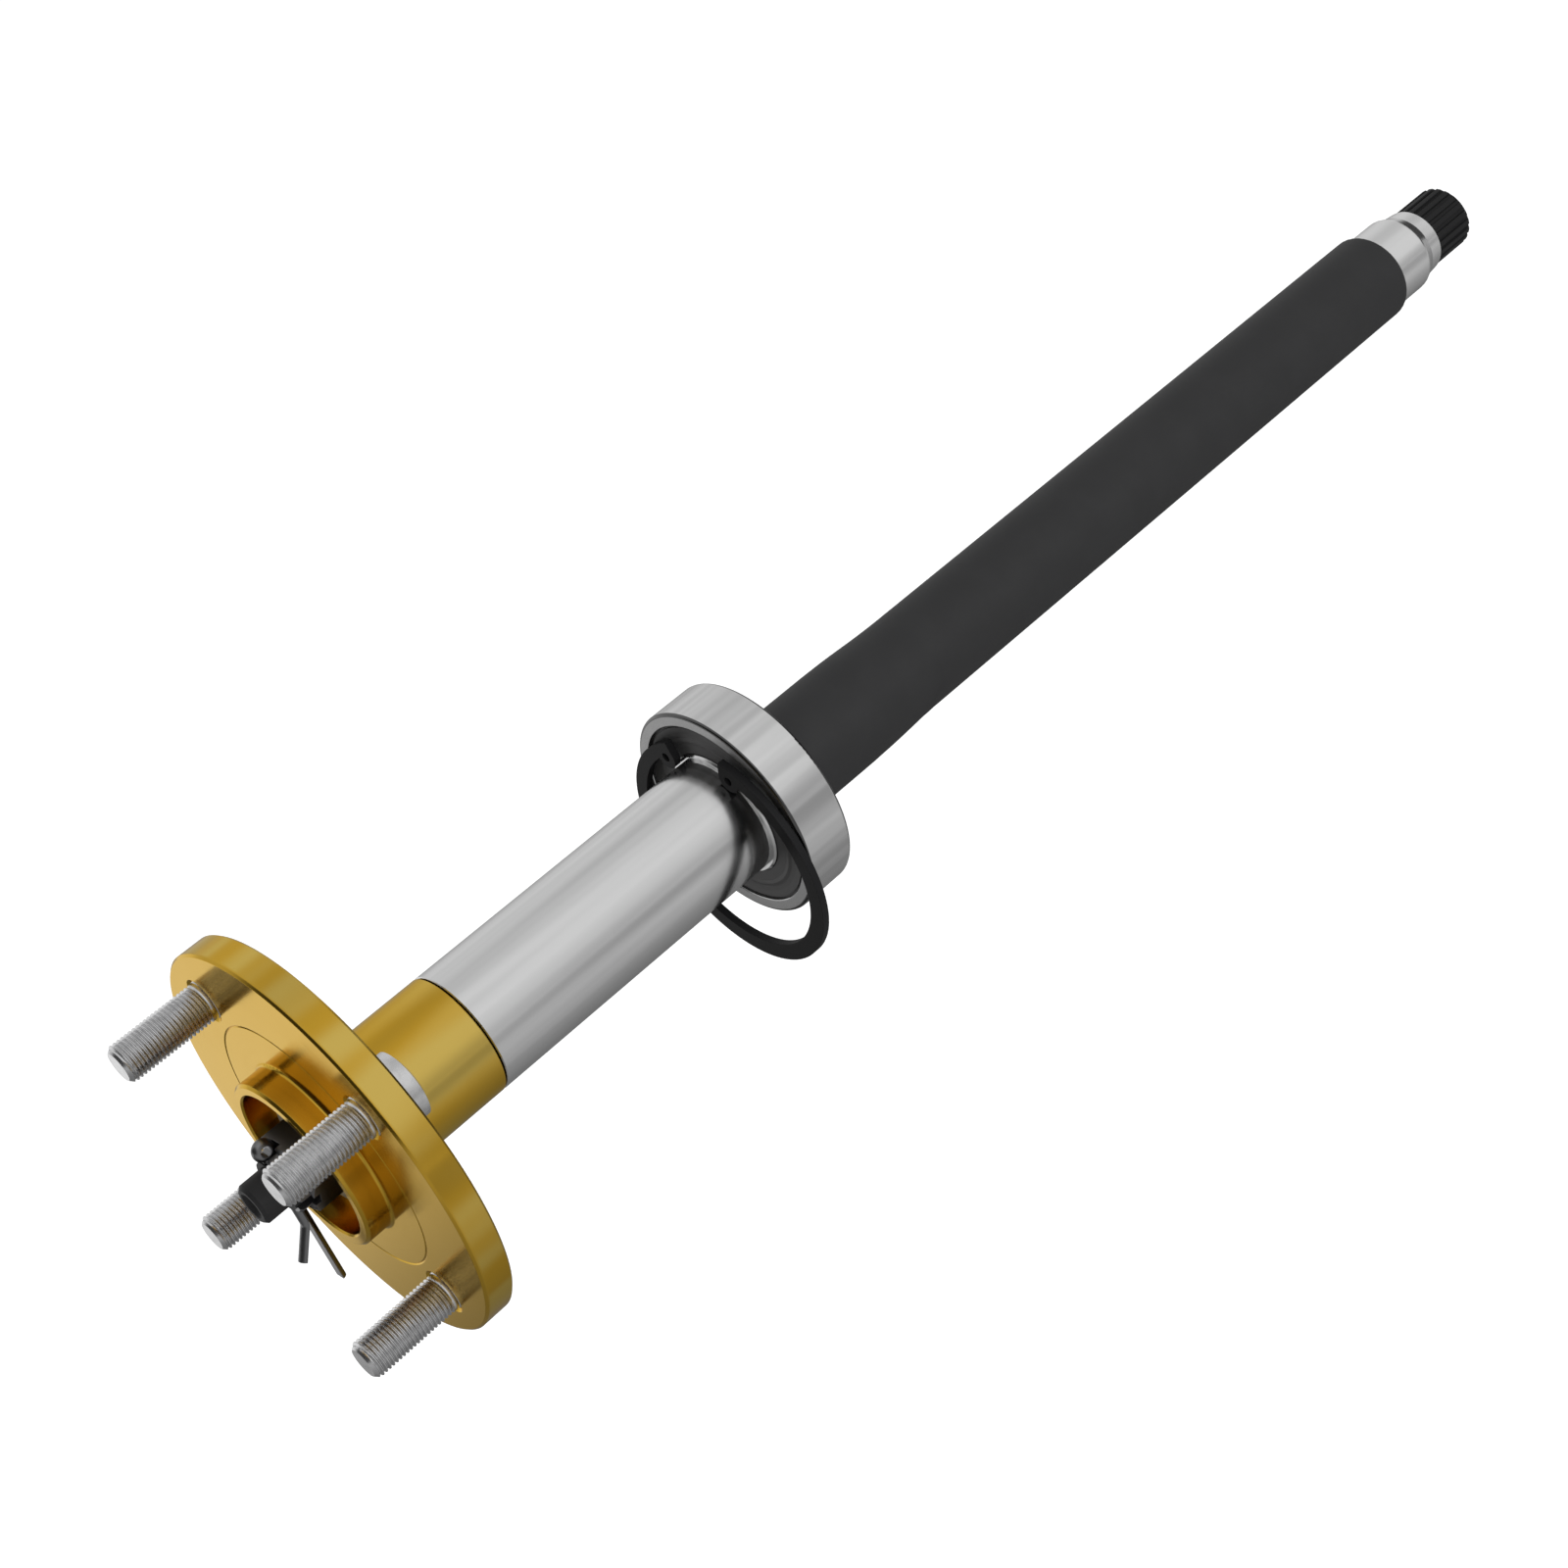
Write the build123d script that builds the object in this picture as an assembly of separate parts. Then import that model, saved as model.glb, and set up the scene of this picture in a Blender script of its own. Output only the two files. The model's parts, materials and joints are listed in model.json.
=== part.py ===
"""Rear axle: splined shaft, bolted-on wheel hub, sealed ball bearing and loose retaining ring.

All lengths are millimetres. The X axis is the axle line and points inboard, Z is up, and
the origin is the centre of the face that the wheel bolts against. Angles are measured
about +X, from +Y towards +Z.
"""
import os
from math import asin, cos, degrees, radians, sin, sqrt, tan

from build123d import *

# Wheel hub: flange, pilot boss, barrel and tapered bore
flange_dia = 129.0
flange_thickness = 9.6
flange_edge_bevel = 0.7
boss_dia = 55.0
boss_length = 8.5
boss_edge_bevel = 0.8
boss_root_fillet = 1.0
recess_dia = 47.6
recess_depth = 8.5
recess_edge_bevel = 0.5
barrel_dia = 39.4
barrel_end_x = 48.6
barrel_edge_bevel = 0.4
barrel_root_fillet = 3.0
turned_ring_dia = 81.6
turned_ring_width = 0.7
turned_ring_depth = 0.3

# Wheel studs, pressed in from behind the flange
stud_circle_dia = 101.6
stud_count = 4
stud_phase = 52.7
stud_thread_dia = 11.9
stud_reach = 28.6
stud_tip_bevel = 1.4
stud_shoulder_dia = 12.6
stud_shoulder_start = 0.2
stud_hole_bevel = 0.9
stud_head_dia = 20.0
stud_head_edge = 4.4
stud_head_height = 6.6

# Tapered seat of the hub on the shaft, with its key
taper_big_dia = 28.0
taper_per_length = 1 / 8
taper_small_end_x = 1.5
hub_gap = 0.4
neck_dia = 26.5
key_width = 6.0
key_height = 6.0
key_start_x = 12.0
key_end_x = 40.0
key_angle = 0.0
keyway_side_clearance = 0.05
keyway_top_clearance = 0.25

# Nut end of the shaft
thread_dia = 16.0
nose_dia = 12.8
nose_end_x = -25.0
nose_bevel = 1.0
nose_start_gap = 0.6
centre_mouth_dia = 8.4
centre_cone_depth = 2.6
centre_pilot_dia = 3.2
centre_pilot_depth = 4.5

# Thrust washer and castle nut
washer_dia = 34.0
washer_hole_clearance = 0.3
washer_thickness = 2.5
washer_bevel = 0.4
nut_across_flats = 22.0
nut_hex_height = 10.0
nut_crown_height = 3.6
nut_crown_dia = 19.6
nut_crown_bevel = 0.7
nut_sides = 6
nut_corner_angle = 30.0
nut_slot_clearance = 0.7
nut_slot_floor_clearance = 0.75

# Cotter pin through the slots and the shaft
cotter_dia = 3.6
cotter_hole_clearance = 0.3
cotter_below_crown = 1.5
cotter_angle = 266.0
cotter_split = 0.12
cotter_eye_inner_radius = 1.6
cotter_eye_distance = 11.6
cotter_long_reach = 36.5
cotter_bend_reach = 15.5
cotter_bend_radius = 4.0
cotter_bend_angle = 33.0
cotter_bent_length = 11.0

# Shaft body
journal_dia = 39.4
journal_bevel = 0.3
relief_dia = 34.0
relief_end_x = 204.0
body_dia = 32.1
blend_length = 32.0
body_end_x = 482.4
body_end_radius = 1.6
land_dia = 28.8
land_gap = 0.8
land_end_x = 498.0
land_end_radius = 3.0
cone_big_dia = 25.6
cone_start_gap = 4.2
cone_small_dia = 24.3
cone_end_x = 508.6
cone_end_bevel = 0.4

# Spline at the inboard end
spline_teeth = 21
spline_major_dia = 23.4
spline_minor_dia = 21.6
spline_end_x = 528.0
spline_tip_bevel = 1.3
spline_groove_share = 0.56
spline_root_share = 0.62

# Sealed ball bearing, 35 x 72 x 17
bearing_face_x = 154.0
bearing_width = 17.0
bearing_outer_dia = 72.0
bearing_bore_dia = 35.0
bearing_corner = 1.1
seat_overrun = 1.2
ball_dia = 11.112
ball_count = 9
ball_clearance = 0.05
race_conformity = 0.52
race_depth = 2.2
seal_land_step = 2.1
seal_land_length = 2.7
seal_mouth_step = 1.5
seal_mouth_bevel = 0.3
seal_groove_step = 2.1
seal_recess = 0.7
seal_groove_width = 1.3
seal_thickness = 0.9
seal_bead_width = 1.6
seal_gap_width = 0.8
seal_gap_depth = 0.5
seal_lip_width = 1.0
seal_lip_length = 1.5
seal_lip_clearance = 0.15
seal_rib_position = 0.52
seal_rib_width = 2.2
seal_rib_rise = 0.25
seal_fit = 0.05

# Riveted ribbon cage
cage_sheet = 0.7
cage_ball_clearance = 0.1
cage_radial_width = 3.9
rivet_dia = 1.5
rivet_head_dia = 2.8
rivet_head_height = 0.45

# Retaining ring, in its free state, hanging by its lugs on the journal and leaning outboard
ring_free_dia = 78.8
ring_thickness = 2.4
ring_width_bottom = 5.7
ring_width_top = 4.3
ring_lug_radius = 3.9
ring_lug_angle = 24.2
ring_lug_inset = 4.8
ring_hole_dia = 3.0
ring_hang_clearance = 0.3
ring_face_clearance = 0.3
ring_lean = 1.2

axle_line = Axis.X
recess_floor_x = recess_depth - boss_length
nut_base_x = recess_floor_x - washer_thickness
nut_hex_end_x = nut_base_x - nut_hex_height
nut_end_x = nut_hex_end_x - nut_crown_height
nose_start_x = nut_end_x - nose_start_gap
nut_slot_width = cotter_dia + nut_slot_clearance
cotter_hole_x = nut_end_x + cotter_below_crown
cotter_eye_radius = cotter_eye_inner_radius + cotter_dia / 2
nut_slot_depth = cotter_below_crown + cotter_eye_radius + nut_slot_floor_clearance
journal_start_x = barrel_end_x + hub_gap
bearing_end_x = bearing_face_x + bearing_width
bearing_mid_x = bearing_face_x + bearing_width / 2
ball_pitch_dia = (bearing_outer_dia + bearing_bore_dia) / 2
outer_race_radius = (ball_pitch_dia + ball_dia) / 2 + ball_clearance
inner_race_radius = (ball_pitch_dia - ball_dia) / 2 - ball_clearance
outer_shoulder_radius = outer_race_radius - race_depth
inner_shoulder_radius = inner_race_radius + race_depth
seal_groove_radius = outer_shoulder_radius + seal_groove_step
seal_land_radius = inner_shoulder_radius - seal_land_step


def taper_radius(x):
    """Radius of the tapered hub seat at the position x."""
    return (taper_big_dia - (barrel_end_x - x) * taper_per_length) / 2


def pick_vertex(face, point):
    """Corner of a profile that lies nearest to the (x, radius) point."""
    return face.vertices().sort_by_distance(Vector(*point))[0]


def turned(outline, rounds=(), bevels=()):
    """Solid turned about the axle line from (x, radius) points, with some corners eased."""
    face = make_face(Polyline(*outline, close=True))
    for point, radius in rounds:
        face = fillet(pick_vertex(face, point), radius)
    for point, size in bevels:
        face = chamfer(pick_vertex(face, point), size)
    return revolve(face, axle_line)


def across(x, angle=0.0):
    """Location of the plane across the axle line at x, turned by an angle."""
    return Location(Plane.YZ.offset(x)) * Rot(0, 0, angle)


def rod(start_x, end_x, dia, bevels=()):
    """Plain cylinder on the axle line, with some of its edges bevelled."""
    outline = [(start_x, 0), (start_x, dia / 2), (end_x, dia / 2), (end_x, 0)]
    return turned(outline, bevels=bevels)


def beside_axle(angle, radius):
    """Location whose X axis is parallel to the axle line, at an angle and radius from it."""
    return Pos(0, radius * cos(radians(angle)), radius * sin(radians(angle)))


def stud_angles():
    """Angles of the wheel studs round the hub."""
    return [stud_phase + k * 360 / stud_count for k in range(stud_count)]


def hub_flange():
    """Hub in one piece: wheel flange, pilot boss with its recess, and keyed barrel."""
    boss_r, recess_r, flange_r = boss_dia / 2, recess_dia / 2, flange_dia / 2
    barrel_r, ring_r = barrel_dia / 2, turned_ring_dia / 2
    outline = [
        (recess_floor_x, taper_radius(recess_floor_x)),
        (recess_floor_x, recess_r),
        (-boss_length, recess_r),
        (-boss_length, boss_r),
        (0, boss_r),
        (0, ring_r - turned_ring_width / 2),
        (turned_ring_depth, ring_r),
        (0, ring_r + turned_ring_width / 2),
        (0, flange_r),
        (flange_thickness, flange_r),
        (flange_thickness, barrel_r),
        (barrel_end_x, barrel_r),
        (barrel_end_x, taper_radius(barrel_end_x)),
    ]
    hub = turned(
        outline,
        rounds=[((0, boss_r), boss_root_fillet), ((flange_thickness, barrel_r), barrel_root_fillet)],
        bevels=[
            ((-boss_length, recess_r), recess_edge_bevel),
            ((-boss_length, boss_r), boss_edge_bevel),
            ((0, flange_r), flange_edge_bevel),
            ((flange_thickness, flange_r), flange_edge_bevel),
            ((barrel_end_x, barrel_r), barrel_edge_bevel),
        ],
    )
    for angle in stud_angles():
        hub -= stud_hole(angle)
    slot_width = key_width + 2 * keyway_side_clearance
    slot_top = key_base_radius() + key_height + keyway_top_clearance
    broach = Box(
        barrel_end_x - recess_floor_x,
        slot_top,
        slot_width,
        align=(Align.MIN, Align.MIN, Align.CENTER),
    )
    return hub - Rot(key_angle, 0, 0) * Pos(recess_floor_x, 0, 0) * broach


def stud_hole(angle):
    """Hole for one stud, with a bevelled mouth in the wheel face."""
    hole_r = stud_shoulder_dia / 2
    hole = turned([
        (0, 0),
        (0, hole_r + stud_hole_bevel),
        (stud_hole_bevel, hole_r),
        (flange_thickness, hole_r),
        (flange_thickness, 0),
    ])
    return beside_axle(angle, stud_circle_dia / 2) * hole


def wheel_stud(angle):
    """Stud with a threaded reach, a pressed shoulder and a domed head behind the flange."""
    thread_r, shoulder_r, head_r = stud_thread_dia / 2, stud_shoulder_dia / 2, stud_head_dia / 2
    head_edge_x = flange_thickness + stud_head_edge
    head_top_x = flange_thickness + stud_head_height
    rise = stud_head_height - stud_head_edge
    dome_r = (head_r ** 2 + rise ** 2) / (2 * rise)
    half = asin(head_r / dome_r) / 2
    middle = (head_top_x - dome_r * (1 - cos(half)), dome_r * sin(half))
    body = Polyline(
        (head_top_x, 0),
        (-stud_reach, 0),
        (-stud_reach, thread_r - stud_tip_bevel),
        (-stud_reach + stud_tip_bevel, thread_r),
        (stud_shoulder_start, thread_r),
        (stud_shoulder_start, shoulder_r),
        (flange_thickness, shoulder_r),
        (flange_thickness, head_r),
        (head_edge_x, head_r),
    )
    dome = ThreePointArc((head_edge_x, head_r), middle, (head_top_x, 0))
    stud = revolve(make_face([body, dome]), axle_line)
    return beside_axle(angle, stud_circle_dia / 2) * stud


def key_base_radius():
    """Distance of the key's base from the axle line."""
    return taper_radius((key_start_x + key_end_x) / 2) - key_height / 2


def hub_key():
    """Round-ended parallel key that drives the hub."""
    length = key_end_x - key_start_x
    blank = extrude(Plane.XZ * SlotOverall(length, key_width), -key_height)
    return Rot(key_angle, 0, 0) * Pos(key_start_x + length / 2, key_base_radius(), 0) * blank


def thrust_washer():
    """Plain washer between the castle nut and the floor of the hub's recess."""
    outer, inner = washer_dia / 2, thread_dia / 2 + washer_hole_clearance
    outline = [
        (nut_base_x, inner), (nut_base_x, outer), (recess_floor_x, outer), (recess_floor_x, inner)
    ]
    return turned(outline, bevels=[((nut_base_x, outer), washer_bevel)])


def castle_nut():
    """Hexagon nut with a slotted round crown; its slots line up with the cotter pin."""
    half_side = 180 / nut_sides
    corner_r = nut_across_flats / 2 / cos(radians(half_side))
    ease = (corner_r - nut_across_flats / 2) * tan(radians(nut_corner_angle))
    hexagon = across(nut_hex_end_x, cotter_angle - half_side) * RegularPolygon(corner_r, nut_sides)
    prism = extrude(hexagon, nut_hex_height)
    eased = turned([
        (nut_hex_end_x, 0),
        (nut_hex_end_x, nut_across_flats / 2),
        (nut_hex_end_x + ease, corner_r),
        (nut_base_x - ease, corner_r),
        (nut_base_x, nut_across_flats / 2),
        (nut_base_x, 0),
    ])
    crown_r = nut_crown_dia / 2
    crown = rod(
        nut_end_x, nut_hex_end_x, nut_crown_dia, bevels=[((nut_end_x, crown_r), nut_crown_bevel)]
    )
    nut = (prism & eased) + crown - rod(nut_end_x, nut_base_x, thread_dia)
    cutter = Box(
        nut_slot_depth,
        corner_r,
        nut_slot_width,
        align=(Align.MIN, Align.MIN, Align.CENTER),
    )
    for k in range(nut_sides):
        turn = Rot(cotter_angle + k * 360 / nut_sides, 0, 0)
        nut -= turn * Pos(nut_end_x, 0, 0) * cutter
    return nut


def half_round(side):
    """Half of the cotter wire's round section, on the outboard (-1) or inboard (+1) side."""
    gap = cotter_split / 2
    keep = Pos(side * (gap + cotter_dia / 2), 0) * Rectangle(cotter_dia, cotter_dia)
    return Circle(cotter_dia / 2) & keep


def cotter_pin():
    """Split pin: an eye, one long straight leg and one short leg bent outboard."""
    start = -cotter_eye_distance + cotter_eye_inner_radius
    legs_plane = Plane(origin=(0, 0, start), x_dir=(1, 0, 0), z_dir=(0, 0, 1))
    long_leg = extrude(legs_plane * half_round(1), cotter_long_reach - start)
    turn = radians(cotter_bend_angle)
    bend = (0, 0, cotter_bend_reach)
    tip = (-cotter_bent_length * sin(turn), 0, cotter_bend_reach + cotter_bent_length * cos(turn))
    route = FilletPolyline((0, 0, start), bend, tip, radius=cotter_bend_radius)
    short_leg = sweep(legs_plane * half_round(-1), path=route)
    wire = Pos(cotter_eye_inner_radius, 0) * (
        Circle(cotter_dia / 2) & Pos(cotter_dia / 2, 0) * Rectangle(cotter_dia, cotter_dia)
    )
    eye = Pos(0, 0, -cotter_eye_distance) * revolve(wire, Axis.Y)
    slit = Pos(0, 0, start - cotter_dia / 4) * Box(
        cotter_split, cotter_dia, cotter_dia, align=(Align.CENTER, Align.CENTER, Align.MIN)
    )
    pin = (eye + long_leg + short_leg) - slit
    return Rot(cotter_angle - 90, 0, 0) * Pos(cotter_hole_x, 0, 0) * pin


def axle_shaft():
    """Shaft in one piece, from the threaded nose to the splined inboard end."""
    seat_end_x = bearing_end_x + seat_overrun
    blend_end_x = relief_end_x + blend_length
    journal_r, seat_r, relief_r, body_r = (
        journal_dia / 2, bearing_bore_dia / 2, relief_dia / 2, body_dia / 2
    )
    outboard = Polyline(
        (cone_end_x, 0),
        (nose_end_x, 0),
        (nose_end_x, nose_dia / 2 - nose_bevel),
        (nose_end_x + nose_bevel, nose_dia / 2),
        (nose_start_x, nose_dia / 2),
        (nose_start_x, thread_dia / 2),
        (taper_small_end_x, thread_dia / 2),
        (taper_small_end_x, taper_radius(taper_small_end_x)),
        (barrel_end_x, taper_radius(barrel_end_x)),
        (barrel_end_x, neck_dia / 2),
        (journal_start_x, neck_dia / 2),
        (journal_start_x, journal_r - journal_bevel),
        (journal_start_x + journal_bevel, journal_r),
        (bearing_face_x, journal_r),
        (bearing_face_x, seat_r),
        (seat_end_x, seat_r),
        (seat_end_x + seat_r - relief_r, relief_r),
        (relief_end_x, relief_r),
    )
    blend = Spline(
        (relief_end_x, relief_r), (blend_end_x, body_r), tangents=((1, 0), (1, 0))
    )
    inboard = Polyline(
        (blend_end_x, body_r),
        (body_end_x, body_r),
        (body_end_x, land_dia / 2 - land_gap),
        (body_end_x + land_gap, land_dia / 2),
        (land_end_x, land_dia / 2),
        (land_end_x + cone_start_gap, cone_big_dia / 2),
        (cone_end_x - cone_end_bevel, cone_small_dia / 2),
        (cone_end_x, cone_small_dia / 2 - cone_end_bevel),
        (cone_end_x, 0),
    )
    profile = make_face([outboard, blend, inboard])
    profile = fillet(pick_vertex(profile, (body_end_x, body_r)), body_end_radius)
    profile = fillet(pick_vertex(profile, (land_end_x, land_dia / 2)), land_end_radius)
    shaft = revolve(profile, axle_line) + spline_end()
    shaft -= centre_hole(nose_end_x, 1)
    shaft -= centre_hole(spline_end_x, -1)
    pin_hole = Cylinder((cotter_dia + cotter_hole_clearance) / 2, 2 * thread_dia)
    shaft -= across(cotter_hole_x, cotter_angle) * Rot(0, 90, 0) * pin_hole
    return shaft - hub_key()


def centre_hole(x, direction):
    """Centre drilling of a shaft end: a 60-degree cone with a pilot hole."""
    mouth, pilot = centre_mouth_dia / 2, centre_pilot_dia / 2
    cone_x = x + direction * centre_cone_depth
    pilot_x = cone_x + direction * centre_pilot_depth
    return turned([(x, 0), (x, mouth), (cone_x, pilot), (pilot_x, pilot), (pilot_x, 0)])


def spline_end():
    """Splined length of the shaft, with straight-sided grooves and a bevelled tip."""
    major, minor = spline_major_dia / 2, spline_minor_dia / 2
    half_pitch = radians(180 / spline_teeth)
    top = major * sin(half_pitch) * spline_groove_share
    root = top * spline_root_share
    over = major + (major - minor) / 2
    groove = Polygon(
        (minor, -root), (over, -top), (over, top), (minor, root), align=None
    )
    section = Circle(major) - [turn * groove for turn in PolarLocations(0, spline_teeth)]
    teeth = extrude(across(cone_end_x) * section, spline_end_x - cone_end_x)
    tip = [((spline_end_x, major), spline_tip_bevel)]
    blank = rod(cone_end_x, spline_end_x, spline_major_dia, bevels=tip)
    return teeth & blank


def race_groove(bottom_radius, outward):
    """Ring-shaped cutter for a raceway whose bottom lies at the given radius."""
    groove_r = race_conformity * ball_dia
    centre_r = bottom_radius - outward * groove_r
    return Pos(bearing_mid_x, 0, 0) * Rot(0, 90, 0) * Torus(centre_r, groove_r)


def bearing_outer_ring():
    """Outer ring with its raceway and a seal groove beside each face."""
    outer_r, shoulder_r, groove_r = bearing_outer_dia / 2, outer_shoulder_radius, seal_groove_radius
    mouth_r = shoulder_r + seal_mouth_step
    half = bearing_width / 2
    lip, wall = half - seal_recess, half - seal_recess - seal_groove_width
    side = [(half, outer_r), (half, mouth_r), (lip, mouth_r), (lip, groove_r),
            (wall, groove_r), (wall, shoulder_r)]
    outline = [(bearing_mid_x + x, r) for x, r in side]
    outline += [(bearing_mid_x - x, r) for x, r in reversed(side)]
    faces = (bearing_face_x, bearing_end_x)
    rounds = [((x, outer_r), bearing_corner) for x in faces]
    bevels = [((x, mouth_r), seal_mouth_bevel) for x in faces]
    return turned(outline, rounds=rounds, bevels=bevels) - race_groove(outer_race_radius, 1)


def bearing_inner_ring():
    """Inner ring, pressed on the shaft's seat, with its raceway and two seal lands."""
    bore_r, land_r, shoulder_r = bearing_bore_dia / 2, seal_land_radius, inner_shoulder_radius
    half = bearing_width / 2
    step = half - seal_land_length
    side = [(half, bore_r), (half, land_r), (step, land_r), (step, shoulder_r)]
    outline = [(bearing_mid_x + x, r) for x, r in side]
    outline += [(bearing_mid_x - x, r) for x, r in reversed(side)]
    bevels = [((x, land_r), bearing_corner / 2) for x in (bearing_face_x, bearing_end_x)]
    return turned(outline, bevels=bevels) - race_groove(inner_race_radius, -1)


def bearing_seal(direction):
    """Rubber-faced seal; direction +1 faces outboard and -1 faces inboard."""
    face = bearing_width / 2 - seal_recess
    back = face - seal_thickness
    bead_back = face - seal_groove_width + seal_fit
    bead_r = seal_groove_radius - seal_fit
    bead_inner_r = outer_shoulder_radius - seal_fit
    bead_start_r = bead_inner_r - seal_bead_width
    mouth_r = outer_shoulder_radius + seal_mouth_step
    gap_r = mouth_r - seal_gap_width
    lip_r = seal_land_radius + seal_lip_clearance
    rib_r = lip_r + (bead_inner_r - lip_r) * seal_rib_position
    outline = [
        (face - seal_rib_rise, lip_r),
        (face - seal_rib_rise, rib_r - seal_rib_width / 2),
        (face, rib_r),
        (face - seal_rib_rise, rib_r + seal_rib_width / 2),
        (face - seal_rib_rise, bead_start_r),
        (face - seal_fit, gap_r),
        (face - seal_gap_depth, gap_r),
        (face - seal_gap_depth, mouth_r),
        (face - seal_fit, mouth_r),
        (face - seal_fit, bead_r),
        (bead_back, bead_r),
        (bead_back, bead_inner_r),
        (back, bead_inner_r - seal_thickness),
        (back, lip_r + seal_lip_width),
        (face - seal_lip_length, lip_r + seal_lip_width / 2),
        (face - seal_lip_length, lip_r),
    ]
    return turned([(bearing_mid_x - direction * x, r) for x, r in outline])


def ball_angles():
    """Angles of the balls round the bearing."""
    return [90 + k * 360 / ball_count for k in range(ball_count)]


def bearing_ball(angle):
    """One steel ball on the pitch circle."""
    return beside_axle(angle, ball_pitch_dia / 2) * Pos(bearing_mid_x, 0, 0) * Sphere(ball_dia / 2)


def cage_half(direction):
    """Pressed half of the ribbon cage: round pockets joined by flat webs."""
    pocket_r = ball_dia / 2 + cage_ball_clearance
    reach = pocket_r + cage_sheet
    inner, outer = (ball_pitch_dia - cage_radial_width) / 2, (ball_pitch_dia + cage_radial_width) / 2
    web_x = bearing_mid_x - direction * cage_sheet
    far_x = bearing_mid_x - direction * reach
    webs = turned([(bearing_mid_x, inner), (bearing_mid_x, outer), (web_x, outer), (web_x, inner)])
    band = turned([(bearing_mid_x, inner), (bearing_mid_x, outer), (far_x, outer), (far_x, inner)])
    places = [
        beside_axle(angle, ball_pitch_dia / 2) * Pos(bearing_mid_x, 0, 0) for angle in ball_angles()
    ]
    shells = Part() + [place * Sphere(reach) for place in places]
    pockets = [place * Sphere(pocket_r) for place in places]
    half = (webs + (shells & band)) - pockets
    return half - [cage_rivet(angle) for angle in rivet_angles()]


def rivet_angles():
    """Angles of the cage rivets, midway between the balls."""
    return [angle + 180 / ball_count for angle in ball_angles()]


def cage_rivet(angle):
    """Rivet through both cage halves, with a flat head on each side."""
    shank_r, head_r = rivet_dia / 2, rivet_head_dia / 2
    grip, head = cage_sheet, cage_sheet + rivet_head_height
    outline = [(-head, 0), (-head, head_r), (-grip, head_r), (-grip, shank_r),
               (grip, shank_r), (grip, head_r), (head, head_r), (head, 0)]
    rivet = turned([(bearing_mid_x + x, r) for x, r in outline])
    return beside_axle(angle, ball_pitch_dia / 2) * rivet


def snap_ring():
    """Internal retaining ring whose band narrows towards two drilled lugs."""
    outer_r = ring_free_dia / 2
    offset = (ring_width_bottom - ring_width_top) / 2
    inner_r = outer_r - (ring_width_bottom + ring_width_top) / 2
    lug_r = outer_r - ring_lug_inset
    gap_half = ring_lug_angle - degrees(asin(ring_lug_radius / lug_r))
    far = 2 * outer_r
    gap_edge = (far * sin(radians(gap_half)), far * cos(radians(gap_half)))
    gap = Polygon((0, 0), (gap_edge[0], gap_edge[1]), (-gap_edge[0], gap_edge[1]), align=None)
    band = Circle(outer_r) - Pos(0, offset) * Circle(inner_r) - gap
    lug = Circle(ring_lug_radius) + Pos(0, ring_lug_inset / 2) * Rectangle(
        2 * ring_lug_radius, ring_lug_inset
    )
    for side in (-1, 1):
        place = Rot(0, 0, side * ring_lug_angle) * Pos(0, lug_r)
        band += (place * lug) & Circle(outer_r)
        band -= place * Circle(ring_hole_dia / 2)
    lug_side = lug_r * sin(radians(ring_lug_angle))
    reach = journal_dia / 2 + ring_hang_clearance + ring_lug_radius
    drop = lug_r * cos(radians(ring_lug_angle)) - sqrt(reach ** 2 - lug_side ** 2)
    ring = Pos(0, 0, -outer_r) * extrude(across(-ring_thickness) * band, ring_thickness)
    top = Pos(bearing_face_x - ring_face_clearance, 0, outer_r - drop)
    return top * Rot(0, ring_lean, 0) * ring


def all_parts():
    """Every piece of the axle under its own name."""
    parts = {
        "axle_shaft": axle_shaft(),
        "hub_flange": hub_flange(),
        "hub_key": hub_key(),
        "thrust_washer": thrust_washer(),
        "castle_nut": castle_nut(),
        "cotter_pin": cotter_pin(),
        "bearing_outer_ring": bearing_outer_ring(),
        "bearing_inner_ring": bearing_inner_ring(),
        "bearing_seal_outboard": bearing_seal(1),
        "bearing_seal_inboard": bearing_seal(-1),
        "cage_half_outboard": cage_half(1),
        "cage_half_inboard": cage_half(-1),
        "cage_rivets": Part() + [cage_rivet(angle) for angle in rivet_angles()],
        "snap_ring": snap_ring(),
    }
    for number, angle in enumerate(stud_angles(), start=1):
        parts[f"wheel_stud_{number}"] = wheel_stud(angle)
    for number, angle in enumerate(ball_angles(), start=1):
        parts[f"ball_{number}"] = bearing_ball(angle)
    return parts


os.makedirs("parts", exist_ok=True)
for name, shape in all_parts().items():
    export_step(shape, f"parts/{name}.step")
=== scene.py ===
"""Looks of the rear axle: the finish of every piece, rolled stud threads, light and camera.

Lengths are metres in the axle's own frame. The X axis is the axle line and points inboard,
Z is up, and the origin is the centre of the wheel face.
"""
import json
import logging
import math
from dataclasses import dataclass
from enum import Enum

import bmesh
import bpy
from mathutils import Matrix, Vector


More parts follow.
